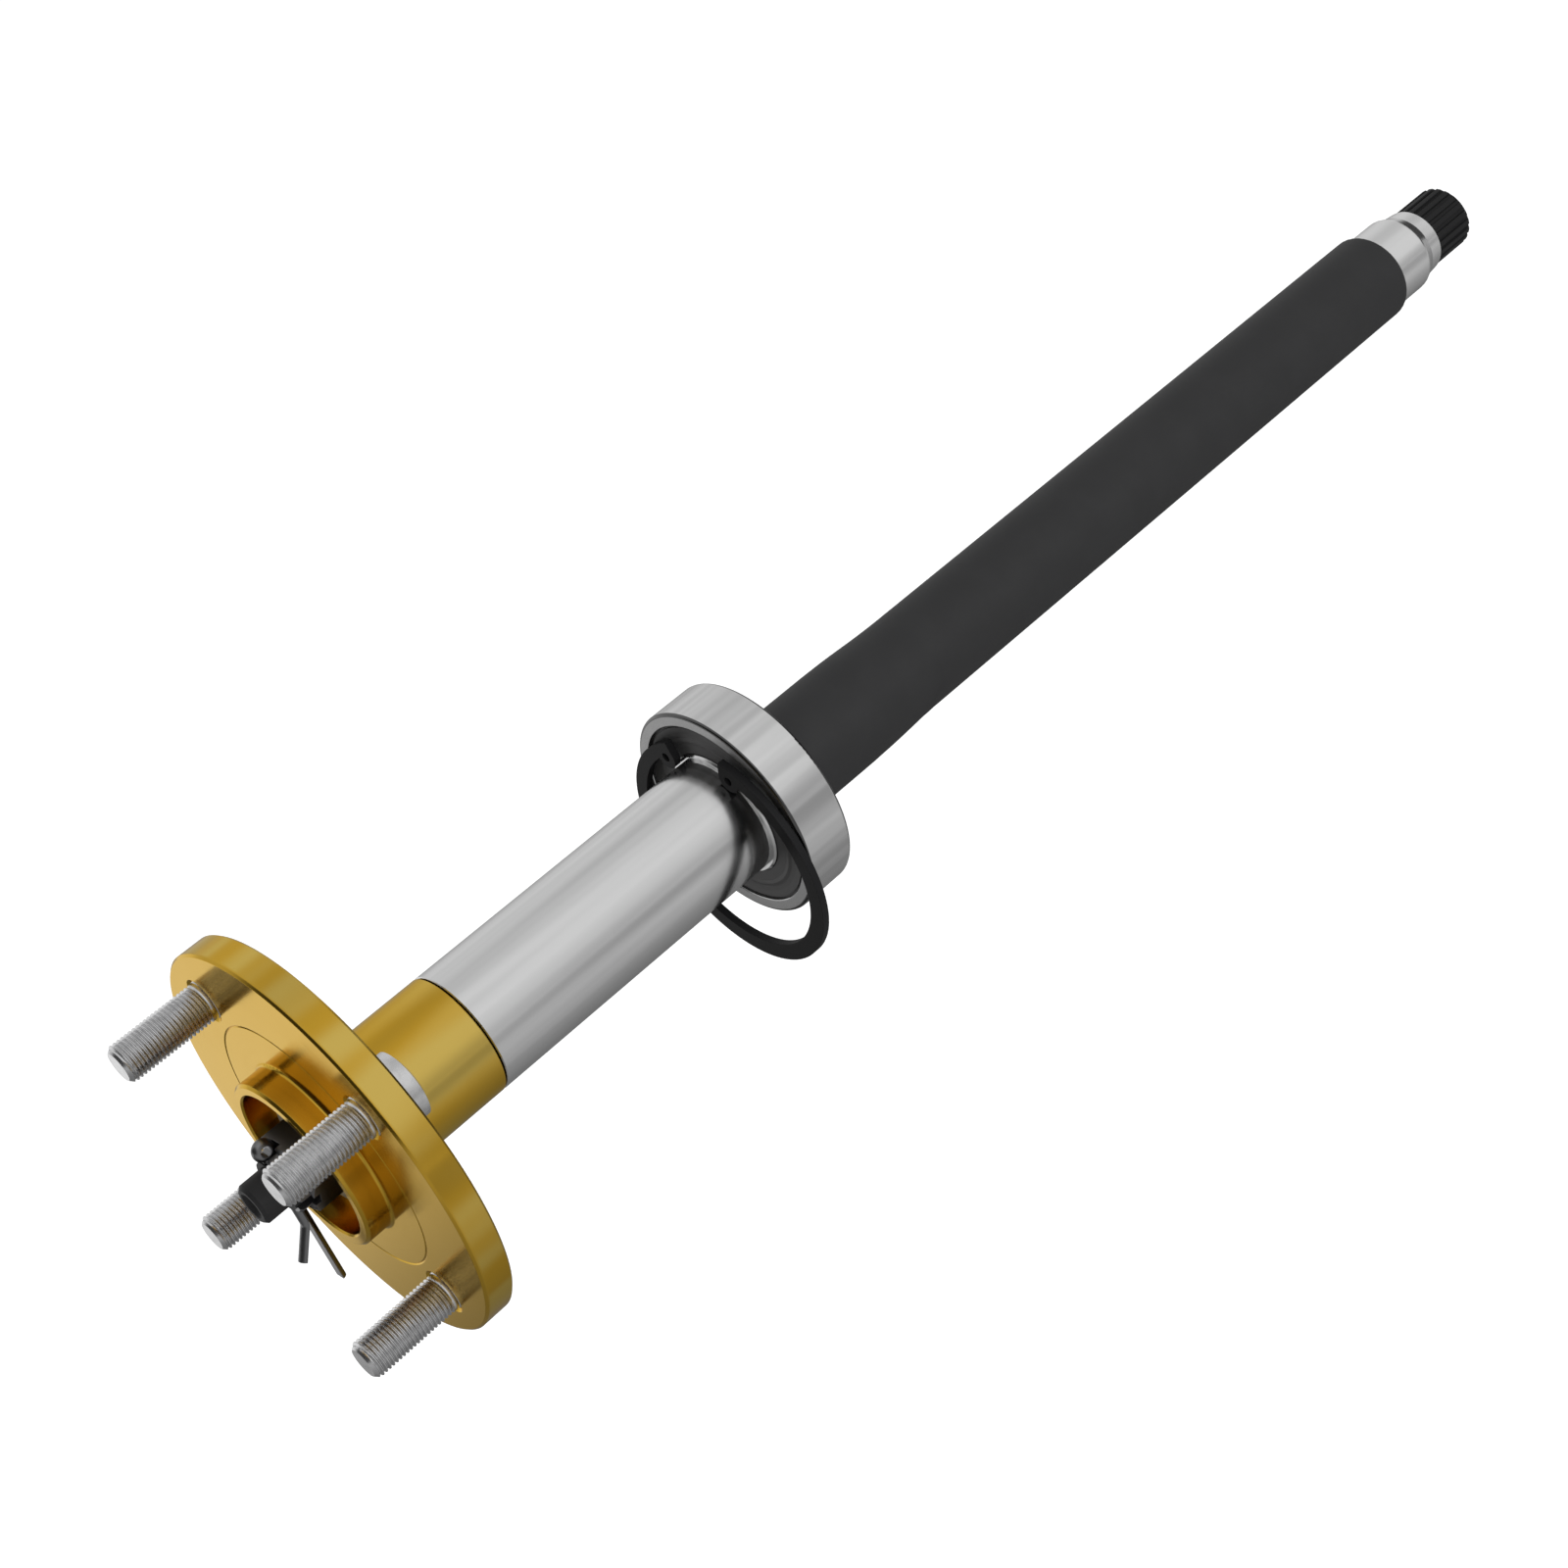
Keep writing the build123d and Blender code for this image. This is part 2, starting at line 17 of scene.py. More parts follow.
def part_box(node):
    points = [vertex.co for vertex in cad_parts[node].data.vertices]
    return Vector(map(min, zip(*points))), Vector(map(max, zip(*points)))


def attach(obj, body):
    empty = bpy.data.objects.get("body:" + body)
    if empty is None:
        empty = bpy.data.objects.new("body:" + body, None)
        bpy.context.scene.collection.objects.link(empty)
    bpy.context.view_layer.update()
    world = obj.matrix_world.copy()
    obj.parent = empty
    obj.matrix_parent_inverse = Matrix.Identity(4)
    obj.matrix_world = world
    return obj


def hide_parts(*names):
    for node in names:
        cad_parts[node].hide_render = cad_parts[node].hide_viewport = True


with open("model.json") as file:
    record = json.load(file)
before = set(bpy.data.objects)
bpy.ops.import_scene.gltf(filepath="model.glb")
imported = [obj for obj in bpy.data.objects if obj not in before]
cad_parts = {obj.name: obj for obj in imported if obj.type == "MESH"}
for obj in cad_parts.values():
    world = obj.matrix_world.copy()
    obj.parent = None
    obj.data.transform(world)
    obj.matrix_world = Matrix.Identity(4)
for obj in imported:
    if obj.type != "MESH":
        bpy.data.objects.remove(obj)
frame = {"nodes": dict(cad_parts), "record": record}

logging.basicConfig(level=logging.INFO, format="%(name)s: %(message)s")
log = logging.getLogger("rear_axle")

Colour = tuple[float, float, float]
Point = tuple[float, float, float]
MM = 0.001
NOISE_MIDDLE = 0.5


class ShaderValue:
    """A shader number. It wraps one socket, and Python operators add Math nodes to it."""

    def __init__(self, graph: "ShaderGraph", socket: bpy.types.NodeSocket) -> None:
        """Keeps the tree that the socket belongs to, and the socket."""
        self.graph = graph
        self.socket = socket

    def maths(self, operation: str, *operands: "ShaderValue | float") -> "ShaderValue":
        """Adds one Math node.

        Args:
            operation: The Math node's operation.
            operands: Its inputs, in order.

        Returns:
            The node's output.
        """
        node = self.graph.add("ShaderNodeMath", {"operation": operation}, dict(enumerate(operands)))
        return ShaderValue(self.graph, node.outputs[0])

    def __add__(self, other: "ShaderValue | float") -> "ShaderValue":
        """Sum."""
        return self.maths("ADD", self, other)

    def __radd__(self, other: float) -> "ShaderValue":
        """Sum, reflected."""
        return self.maths("ADD", other, self)

    def __sub__(self, other: "ShaderValue | float") -> "ShaderValue":
        """Difference."""
        return self.maths("SUBTRACT", self, other)

    def __rsub__(self, other: float) -> "ShaderValue":
        """Difference, reflected."""
        return self.maths("SUBTRACT", other, self)

    def __mul__(self, other: "ShaderValue | float") -> "ShaderValue":
        """Product."""
        return self.maths("MULTIPLY", self, other)

    def __rmul__(self, other: float) -> "ShaderValue":
        """Product, reflected."""
        return self.maths("MULTIPLY", other, self)

    def __truediv__(self, other: "ShaderValue | float") -> "ShaderValue":
        """Quotient."""
        return self.maths("DIVIDE", self, other)

    def __pow__(self, other: float) -> "ShaderValue":
        """Power."""
        return self.maths("POWER", self, other)

    def profile(self, low: float, high: float, stops: list[tuple[float, float]]) -> "ShaderValue":
        """Looks this value up in a smooth curve.

        Args:
            low: The value at the left end of the curve.
            high: The value at its right end.
            stops: Places in the value's own unit, with the curve's height there.

        Returns:
            The curve's height at this value.
        """
        share = (self - low) / (high - low)
        ramp = self.graph.add(
            "ShaderNodeValToRGB",
            {"stops": [((place - low) / (high - low), (h, h, h)) for place, h in stops]},
            {"Fac": share},
        )
        return ShaderValue(self.graph, ramp.outputs["Color"])

    def rise(self, start: float, end: float) -> "ShaderValue":
        """Smooth step of this value.

        Args:
            start: Where the step is 0. It may be larger than end, and the step then falls.
            end: Where the step is 1.

        Returns:
            A value from 0 to 1.
        """
        node = self.graph.add(
            "ShaderNodeMapRange",
            {"interpolation_type": "SMOOTHSTEP"},
            {"Value": self, "From Min": start, "From Max": end},
        )
        return ShaderValue(self.graph, node.outputs["Result"])


class ShaderGraph:
    """The node tree of one material, world or other owner of nodes."""

    def __init__(self, tree: bpy.types.NodeTree) -> None:
        """Empties the tree and keeps it."""
        self.tree = tree
        tree.nodes.clear()

    def add(
        self, kind: str, settings: dict[str, object], inputs: dict[object, object]
    ) -> bpy.types.Node:
        """Adds one node of any type.

        Args:
            kind: The node's type.
            settings: Its properties. stops gives a ramp's positions and colours.
            inputs: A value or a link for each named or numbered socket.

        Returns:
            The node.
        """
        node = self.tree.nodes.new(kind)
        for name, setting in settings.items():
            if name == "stops":
                self.set_stops(node.color_ramp, setting)
            else:
                setattr(node, name, setting)
        for key, value in inputs.items():
            source = value.socket if isinstance(value, ShaderValue) else value
            if isinstance(source, bpy.types.NodeSocket):
                self.tree.links.new(source, node.inputs[key])
            else:
                node.inputs[key].default_value = source
        return node

    @staticmethod
    def set_stops(ramp: bpy.types.ColorRamp, stops: list[tuple[float, Colour]]) -> None:
        """Gives a colour ramp its stops."""
        while len(ramp.elements) < len(stops):
            ramp.elements.new(1.0)
        for element, (position, colour) in zip(ramp.elements, stops):
            element.position = position
            element.color = (*colour, 1.0)
        ramp.interpolation = "EASE"

    def noise(self, place: bpy.types.NodeSocket, size: float, detail: float = 2.0) -> ShaderValue:
        """Cloudy noise from 0 to 1.

        Args:
            place: The coordinates that it reads.
            size: The size of its features in metres.
            detail: How many finer layers it has.

        Returns:
            The noise.
        """
        node = self.add(
            "ShaderNodeTexNoise", {}, {"Vector": place, "Scale": 1.0 / size, "Detail": detail}
        )
        return ShaderValue(self, node.outputs["Fac"])

    def bands(self, place: ShaderValue, size: float, detail: float = 2.0) -> ShaderValue:
        """Uneven bands from 0 to 1 along one measure, such as the marks of a lathe tool."""
        node = self.add(
            "ShaderNodeTexNoise",
            {"noise_dimensions": "1D"},
            {"W": place, "Scale": 1.0 / size, "Detail": detail},
        )
        return ShaderValue(self, node.outputs["Fac"])

    def stretched(self, place: bpy.types.NodeSocket, scale: Point) -> bpy.types.NodeSocket:
        """Coordinates scaled along their axes, so that a pattern on them is drawn out."""
        node = self.add("ShaderNodeMapping", {}, {"Vector": place, "Scale": scale})
        return node.outputs["Vector"]

    def blend(self, factor: ShaderValue, low: object, high: object) -> bpy.types.NodeSocket:
        """Mixes two colours.

        Args:
            factor: 0 gives the first colour and 1 the second.
            low: The first colour, or a socket that carries one.
            high: The second colour, or a socket that carries one.

        Returns:
            The mixed colour's socket.
        """
        first = (*low, 1.0) if isinstance(low, tuple) else low
        second = (*high, 1.0) if isinstance(high, tuple) else high
        node = self.add(
            "ShaderNodeMix", {"data_type": "RGBA"}, {0: factor, 6: first, 7: second}
        )
        return node.outputs[2]


class AxleSpace:
    """Where a point of a piece lies: along the axle line, and away from it."""

    def __init__(self, graph: ShaderGraph) -> None:
        """Reads the object's coordinates."""
        self.place = graph.add("ShaderNodeTexCoord", {}, {}).outputs["Object"]
        split = graph.add("ShaderNodeSeparateXYZ", {}, {"Vector": self.place})
        self.along = ShaderValue(graph, split.outputs["X"])
        across = ShaderValue(graph, split.outputs["Y"])
        up = ShaderValue(graph, split.outputs["Z"])
        self.radius = (across * across + up * up) ** 0.5


@dataclass
class Skin:
    """What varies over a finish before it reaches the shader."""

    colour: object
    roughness: object
    height: ShaderValue
    depth: float
    metallic: object = 1.0


@dataclass(frozen=True)
class Finish:
    """A surface finish. Each kind of finish says how its skin varies."""

    name: str
    colour: Colour
    roughness: float
    edge: float = 0.2 * MM
    shine: float = 0.5
    edge_tint: Colour = (1.0, 1.0, 1.0)
    edge_samples: int = 4

    def shaded(self, share: float) -> Colour:
        """The finish's colour, darker or paler."""
        return tuple(share * part for part in self.colour)

    def skin(self, graph: ShaderGraph, space: AxleSpace) -> Skin:
        """The finish's colour, gloss and relief, drawn with nodes."""
        raise NotImplementedError

    def material(self) -> bpy.types.Material:
        """Builds the material.

        Returns:
            A new material with this finish's name.
        """
        material = bpy.data.materials.new(self.name)
        material.use_nodes = True
        graph = ShaderGraph(material.node_tree)
        skin = self.skin(graph, AxleSpace(graph))
        rounded = graph.add("ShaderNodeBevel", {"samples": self.edge_samples}, {"Radius": self.edge})
        relief = graph.add(
            "ShaderNodeBump",
            {},
            {
                "Strength": 1.0,
                "Distance": skin.depth,
                "Height": skin.height,
                "Normal": rounded.outputs["Normal"],
            },
        )
        colour = (*skin.colour, 1.0) if isinstance(skin.colour, tuple) else skin.colour
        shader = graph.add(
            "ShaderNodeBsdfPrincipled",
            {},
            {
                "Base Color": colour,
                "Roughness": skin.roughness,
                "Metallic": skin.metallic,
                "Specular IOR Level": self.shine,
                "Specular Tint": (*self.edge_tint, 1.0),
                "Normal": relief.outputs["Normal"],
            },
        )
        graph.add("ShaderNodeOutputMaterial", {}, {"Surface": shader.outputs["BSDF"]})
        return material


@dataclass(frozen=True)
class YellowZinc(Finish):
    """Yellow passivated zinc over turned steel: amber metal with paler drawn-out clouds."""

    paler: Colour = (0.63, 0.45, 0.105)
    face: tuple[float, float] = (0.5 * MM, 1.5 * MM)
    face_paleness: float = 0.1
    cloud_size: float = 15 * MM
    cloud_stretch: float = 0.1
    cloud_limits: tuple[float, float] = (0.36, 0.60)
    cloud_gloss: float = 0.10
    mark_size: float = 0.35 * MM
    mark_depth: float = 0.0015 * MM
    wide_mark_ratio: int = 6
    wide_mark_gloss: float = 0.05

    def skin(self, graph: ShaderGraph, space: AxleSpace) -> Skin:
        """Amber with paler clouds behind the plain wheel face, and faint lathe rings."""
        drawn = graph.stretched(space.place, (self.cloud_stretch, 1.0, 1.0))
        clouds = graph.noise(drawn, self.cloud_size, detail=1.0)
        marks = graph.bands(space.along + space.radius, self.mark_size)
        wide = graph.bands(space.along + space.radius, self.wide_mark_ratio * self.mark_size)
        behind = space.along.rise(*self.face)
        pale = clouds.rise(*self.cloud_limits) * behind + self.face_paleness * (1 - behind)
        cloud_gloss = self.cloud_gloss * (clouds - NOISE_MIDDLE)
        mark_gloss = self.wide_mark_gloss * (wide - NOISE_MIDDLE)
        return Skin(
            colour=graph.blend(pale, self.colour, self.paler),
            roughness=self.roughness + cloud_gloss + mark_gloss,
            height=marks + wide,
            depth=self.mark_depth,
        )


@dataclass(frozen=True)
class GroundSteel(Finish):
    """Bare steel, turned and ground: fine rings, and darker streaks drawn out along the axle that
    are partly faint grinding variation and partly painted reflection streaks.
    """

    mark_size: float = 0.22 * MM
    mark_depth: float = 0.0010 * MM
    streak_size: float = 4.0 * MM
    streak_stretch: float = 0.03
    grind_and_reflection_shade: float = 0.90
    streak_limits: tuple[float, float] = (0.30, 0.70)
    streak_gloss: float = 0.06
    mark_gloss: float = 0.04

    def skin(self, graph: ShaderGraph, space: AxleSpace) -> Skin:
        """Grey metal with fine rings from the grinding wheel, and faint long darker streaks that are
        partly grinding variation and partly painted reflections.
        """
        marks = graph.bands(space.along + space.radius, self.mark_size)
        drawn = graph.stretched(space.place, (self.streak_stretch, 1.0, 1.0))
        streaks = graph.noise(drawn, self.streak_size, detail=1.0)
        # Painted reflection streaks, partly grinding variation: the colour darkens along drawn-out
        # streaks.
        dark = self.shaded(self.grind_and_reflection_shade)
        streak_gloss = self.streak_gloss * (streaks - NOISE_MIDDLE)
        mark_gloss = self.mark_gloss * (marks - NOISE_MIDDLE)
        return Skin(
            colour=graph.blend(streaks.rise(*self.streak_limits), dark, self.colour),
            roughness=self.roughness + streak_gloss + mark_gloss,
            height=marks,
            depth=self.mark_depth,
        )


@dataclass(frozen=True)
class RingSteel(GroundSteel):
    """Bearing ring steel: ground bright outside, with duller side faces, and painted shade on the
    rounded corners of the rim.

    The bearing's middle and half width repeat the place of the CAD rings.
    """

    side_shade: float = 0.50
    side_roughness: float = 0.22
    side_radius: float = 28 * MM
    corner_painted_shade: float = 0.16
    corner_depth: float = 0.85 * MM
    corner_radius: float = 34.9 * MM
    middle: float = 162.5 * MM
    half_width: float = 8.5 * MM
    step: float = 0.1 * MM
    grain_ratio: int = 2
    grain_shade: float = 0.8
    grain_limits: tuple[float, float] = (0.3, 0.7)

    def skin(self, graph: ShaderGraph, space: AxleSpace) -> Skin:
        """Bright rim, dull grainy sides, and painted shade on the rounded corners of the rim."""
        base = super().skin(graph, space)
        gap = space.along - self.middle
        aside = gap.maths("ABSOLUTE", gap)
        outer = space.radius.rise(self.side_radius, self.side_radius + self.step)
        side = aside.rise(self.half_width - 2 * self.step, self.half_width - self.step) * outer
        # Painted shade: the rounded corners of the outer rim are coloured dark, as a dark line along
        # each edge.
        deep = self.half_width - self.corner_depth
        rim = space.radius.rise(self.corner_radius, self.corner_radius + self.step)
        corner = aside.rise(deep - self.step, deep) * rim
        grain = graph.noise(space.place, self.grain_ratio * self.mark_size, detail=3.0)
        darkest = self.shaded(self.grain_shade * self.side_shade)
        palest = self.shaded(self.side_shade)
        dull = graph.blend(grain.rise(*self.grain_limits), darkest, palest)
        flat = graph.blend(side, base.colour, dull)
        return Skin(
            colour=graph.blend(corner, flat, self.shaded(self.corner_painted_shade)),
            roughness=base.roughness + self.side_roughness * side,
            height=base.height,
            depth=base.depth,
        )


@dataclass(frozen=True)
class GreyZinc(Finish):
    """Dull grey zinc on forged and rolled steel, with a fine grain."""

    grain_size: float = 0.8 * MM
    grain_depth: float = 0.0008 * MM
    grain_gloss: float = 0.10
    speck_ratio: int = 3
    speck_shade: float = 0.88
    speck_limits: tuple[float, float] = (0.35, 0.6)

    def skin(self, graph: ShaderGraph, space: AxleSpace) -> Skin:
        """Grey metal with grain and dull specks."""
        grain = graph.noise(space.place, self.grain_size, detail=3.0)
        specks = graph.noise(space.place, self.speck_ratio * self.grain_size)
        dark = self.shaded(self.speck_shade)
        return Skin(
            colour=graph.blend(specks.rise(*self.speck_limits), dark, self.colour),
            roughness=self.roughness + self.grain_gloss * (grain - NOISE_MIDDLE),
            height=grain,
            depth=self.grain_depth,
        )


@dataclass(frozen=True)
class DarkFinish(Finish):
    """Black oxide, black paint or rubber: dark, with a fine even texture."""

    texture_size: float = 0.5 * MM
    texture_depth: float = 0.006 * MM
    metallic: float = 0.0
    patch_ratio: int = 24
    patch_shade: float = 1.08
    patch_limits: tuple[float, float] = (0.35, 0.75)
    patch_gloss: float = 0.03

    def skin(self, graph: ShaderGraph, space: AxleSpace) -> Skin:
        """Dark surface with a fine texture and slightly uneven gloss."""
        texture = graph.noise(space.place, self.texture_size)
        patches = graph.noise(space.place, self.patch_ratio * self.texture_size)
        paler = self.shaded(self.patch_shade)
        return Skin(
            colour=graph.blend(patches.rise(*self.patch_limits), self.colour, paler),
            roughness=self.roughness + self.patch_gloss * (patches - NOISE_MIDDLE),
            height=texture,
            depth=self.texture_depth,
            metallic=self.metallic,
        )


@dataclass(frozen=True)
class ShaftFinish(Finish):
    """The shaft's own finish: black body, nose and spline, with bare ground steel between.

    Its colour and roughness are those of the black paint. The paint ends where the CAD
    shaft's stretches do, or up to 0.2 mm beside that.
    """

    steel: GroundSteel = GroundSteel("ground_steel", (0.70, 0.70, 0.70), 0.18)
    spline_colour: Colour = (0.010, 0.010, 0.0103)
    journal_start: float = 48.8 * MM
    bearing_end: float = 171.0 * MM
    body_end: float = 482.38 * MM
    cone_end: float = 508.63 * MM
    step: float = 0.02 * MM

    def skin(self, graph: ShaderGraph, space: AxleSpace) -> Skin:
        """Mixes the two finishes by the place along the shaft."""
        along = space.along
        journal = along.rise(self.journal_start, self.journal_start + self.step) * along.rise(
            self.bearing_end + self.step, self.bearing_end
        )
        land = along.rise(self.body_end, self.body_end + self.step) * along.rise(
            self.cone_end + self.step, self.cone_end
        )
        bare = journal + land
        spline = along.rise(self.cone_end, self.cone_end + self.step)
        black = DarkFinish(self.name, self.colour, self.roughness).skin(graph, space)
        steel = self.steel.skin(graph, space)
        painted = graph.blend(spline, black.colour, self.spline_colour)
        return Skin(
            colour=graph.blend(bare, painted, steel.colour),
            roughness=black.roughness * (1 - bare) + steel.roughness * bare,
            height=black.height * (1 - bare) + steel.height * (steel.depth / black.depth) * bare,
            depth=black.depth,
            metallic=bare,
        )


class Finishes(Enum):
    """The finishes of the axle's pieces."""

    HUB = YellowZinc(
        "yellow_zinc", (0.56, 0.33, 0.032), 0.17, edge=0.25 * MM, edge_tint=(1.0, 0.90, 0.62)
    )
    SHAFT = ShaftFinish("shaft", (0.021, 0.021, 0.0216), 0.5, shine=0.12)
    STUD = GreyZinc("grey_zinc", (0.66, 0.66, 0.665), 0.27, edge=0.02 * MM)
    # The bearing's stronger darker streaks are painted reflection, partly grinding variation.
    BEARING = RingSteel("bearing_steel", (0.68, 0.68, 0.68), 0.15, grind_and_reflection_shade=0.80)
    BALL = GroundSteel("ball_steel", (0.70, 0.70, 0.70), 0.12, edge=0.02 * MM)
    CAGE = GroundSteel("pressed_steel", (0.50, 0.49, 0.47), 0.38, edge=0.05 * MM)
    KEY = GroundSteel("key_steel", (0.52, 0.52, 0.52), 0.34)
    SEAL = DarkFinish("seal_rubber", (0.052, 0.052, 0.053), 0.5, shine=0.3, texture_size=0.3 * MM)
    BLACK = DarkFinish("black_oxide", (0.22, 0.22, 0.224), 0.34, metallic=1.0)
    RING = DarkFinish("ring_phosphate", (0.010, 0.010, 0.0105), 0.45, edge=0.3 * MM, shine=0.06)
    COTTER = DarkFinish("cotter_steel", (0.20, 0.20, 0.204), 0.32, edge=0.1 * MM, metallic=1.0)


NODE_FINISHES: dict[str, Finishes] = {
    "axle_shaft": Finishes.SHAFT,
    "hub_flange": Finishes.HUB,
    "hub_key": Finishes.KEY,
    "thrust_washer": Finishes.BLACK,
    "castle_nut": Finishes.BLACK,
    "cotter_pin": Finishes.COTTER,
    "bearing_outer_ring": Finishes.BEARING,
    "bearing_inner_ring": Finishes.BEARING,
    "bearing_seal_outboard": Finishes.SEAL,
    "bearing_seal_inboard": Finishes.SEAL,
    "cage_half_outboard": Finishes.CAGE,
    "cage_half_inboard": Finishes.CAGE,
    "cage_rivets": Finishes.CAGE,
    "snap_ring": Finishes.RING,
}
BALL_PREFIX = "ball_"
STUD_PREFIX = "wheel_stud_"

# One turn of the stud's thread: shares of the pitch along the stud, and of the thread's depth.
THREAD_SHAPE = (
    (0.00, 0.88), (0.05, 1.0), (0.20, 1.0), (0.25, 0.88), (0.55, 0.0), (0.70, 0.0),
)


@dataclass
class WheelStud:
    """A wheel stud with its rolled thread, in the place of the plain CAD stud.

    The shoulder, the flange and the head's edge repeat the sizes of the CAD stud and hub.
    """

    node: str
    thread_radius: float
    pitch: float = 1.25 * MM
    thread_depth: float = 0.74 * MM
    plain_end: float = 0.9 * MM
    runout: float = 1.0 * MM
    tip_bevel: float = 1.4 * MM
    shoulder_start: float = 0.2 * MM
    flange_thickness: float = 9.6 * MM
    shoulder_radius: float = 6.3 * MM
    head_edge: float = 4.4 * MM
    turn_steps: int = 64
    dome_points: int = 10
    corner: float = 0.35 * MM
    spare_turns: int = 2
    core_share: float = 0.5
    weld: float = 0.002 * MM

    def __post_init__(self) -> None:
        """Reads the stud's place and reach from the frame."""
        low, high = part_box(self.node)
        self.centre = Vector((0.0, (low[1] + high[1]) / 2, (low[2] + high[2]) / 2))
        self.tip = low[0]
        self.head_top = high[0]
        self.head_radius = (high[1] - low[1]) / 2

    def build(self, material: bpy.types.Material) -> bpy.types.Object:
        """Makes the stud as one object: thread, shoulder and head.

        Args:
            material: The finish of the whole stud.

        Returns:
            The stud, in place.
        """
        bm = bmesh.new()
        self.add_thread(bm)
        self.add_head(bm)
        bmesh.ops.translate(bm, vec=self.centre, verts=bm.verts)
        return finished_piece(f"{self.node}_threaded", bm, material)

    def add_thread(self, bm: bmesh.types.BMesh) -> None:
        """Screws a thread profile round the stud's axis, trims its ends and eases them in."""
        root = self.thread_radius - self.thread_depth
        start = self.tip - self.spare_turns * self.pitch
        turns = math.ceil((self.shoulder_start - start) / self.pitch) + self.spare_turns
        points = [
            (start + (turn + part) * self.pitch, root + rise * self.thread_depth)
            for turn in range(turns)
            for part, rise in THREAD_SHAPE
        ]
        made = self.lathe(bm, points, advance=self.pitch)
        self.trim(bm, made, self.tip, keep_above=True)
        self.trim(bm, made, self.shoulder_start, keep_above=False)
        for vert in bm.verts:
            self.ease(vert, root)

    def trim(
        self, bm: bmesh.types.BMesh, verts: list[bmesh.types.BMVert], place: float, keep_above: bool
    ) -> None:
        """Cuts the thread square across and closes the cut.

        Args:
            bm: The mesh.
            verts: The thread's points.
            place: Where the cut lies along the stud.
            keep_above: Whether the side towards the head stays.
        """
        live = [vert for vert in verts if vert.is_valid]
        faces = list({face for vert in live for face in vert.link_faces})
        edges = list({edge for vert in live for edge in vert.link_edges})
        bmesh.ops.bisect_plane(
            bm,
            geom=live + edges + faces,
            plane_co=(place, 0, 0),
            plane_no=(1, 0, 0),
            clear_inner=keep_above,
            clear_outer=not keep_above,
        )
        near = [vert for vert in bm.verts if abs(vert.co.x - place) < self.weld]
        bmesh.ops.remove_doubles(bm, verts=near, dist=self.weld)
        rim = [
            edge
            for edge in bm.edges
            if edge.is_boundary and all(abs(vert.co.x - place) < self.weld for vert in edge.verts)
        ]
        bmesh.ops.holes_fill(bm, edges=rim, sides=0)

    def ease(self, vert: bmesh.types.BMVert, root: float) -> None:
        """Bevels the thread at the tip and fills its groove beside the flange."""
        flat = Vector((0.0, vert.co.y, vert.co.z))
        radius = flat.length
        if radius < root * self.core_share:
            return
        depth_in = vert.co.x - self.tip
        allowed = self.thread_radius - max(0.0, self.tip_bevel - depth_in)
        fill = (vert.co.x + self.plain_end + self.runout) / self.runout
        floor = root + (self.thread_radius - root) * min(1.0, max(0.0, fill))
        wanted = min(max(radius, floor), allowed)
        flat *= wanted / radius
        vert.co.y, vert.co.z = flat.y, flat.z

    def add_head(self, bm: bmesh.types.BMesh) -> None:
        """Turns the pressed shoulder and the domed head."""
        seat = self.flange_thickness
        edge = seat + self.head_edge
        rise = self.head_top - edge
        dome_radius = (self.head_radius ** 2 + rise ** 2) / (2 * rise)
        sweep = math.asin(self.head_radius / dome_radius)
        corner = self.corner
        points = [
            (self.shoulder_start, 0.0),
            (self.shoulder_start, self.shoulder_radius - corner),
            (self.shoulder_start + corner, self.shoulder_radius),
            (seat, self.shoulder_radius),
            (seat, self.head_radius - corner),
            (seat + corner, self.head_radius),
        ]
        for step in range(self.dome_points + 1):
            angle = sweep * (1 - step / self.dome_points)
            drop = dome_radius * (1 - math.cos(angle))
            points.append((self.head_top - drop, dome_radius * math.sin(angle)))
        self.lathe(bm, points)

    def lathe(
        self, bm: bmesh.types.BMesh, points: list[tuple[float, float]], advance: float = 0.0
    ) -> list[bmesh.types.BMVert]:
        """Spins a profile once round the X axis.

        Args:
            bm: The mesh that it is added to.
            points: The profile, as places along the axis and radii.
            advance: How far one turn moves along the axis.

        Returns:
            The points of the new surface.
        """
        before = set(bm.verts)
        verts = [bm.verts.new((x, radius, 0.0)) for x, radius in points]
        edges = [bm.edges.new(pair) for pair in zip(verts, verts[1:])]
        bmesh.ops.spin(
            bm,
            geom=verts + edges,
            cent=(0, 0, 0),
            axis=(1, 0, 0),
            dvec=(advance / self.turn_steps, 0, 0),
            angle=math.tau,
            steps=self.turn_steps,
            use_merge=advance == 0.0,
            use_duplicate=False,
        )
        made = [vert for vert in bm.verts if vert not in before]
        bmesh.ops.remove_doubles(bm, verts=made, dist=self.weld)
        return [vert for vert in made if vert.is_valid]


def finished_piece(
    name: str, bm: bmesh.types.BMesh, material: bpy.types.Material, smooth_degrees: float = 38.0
) -> bpy.types.Object:
    """Turns a mesh under construction into an object with a material.

    Args:
        name: The piece's name.
        bm: The mesh, which is freed.
        material: Its finish.
        smooth_degrees: Edges that turn by more than this stay sharp.

    Returns:
        The object, at the origin and linked to the scene.
    """
    bmesh.ops.recalc_face_normals(bm, faces=bm.faces)
    limit = math.radians(smooth_degrees)
    for face in bm.faces:
        face.smooth = True
    for edge in bm.edges:
        edge.smooth = len(edge.link_faces) == 2 and edge.calc_face_angle(0.0) < limit
    mesh = bpy.data.meshes.new(name)
    bm.to_mesh(mesh)
    bm.free()
    mesh.materials.append(material)
    piece = bpy.data.objects.new(name, mesh)
    bpy.context.scene.collection.objects.link(piece)
    return piece


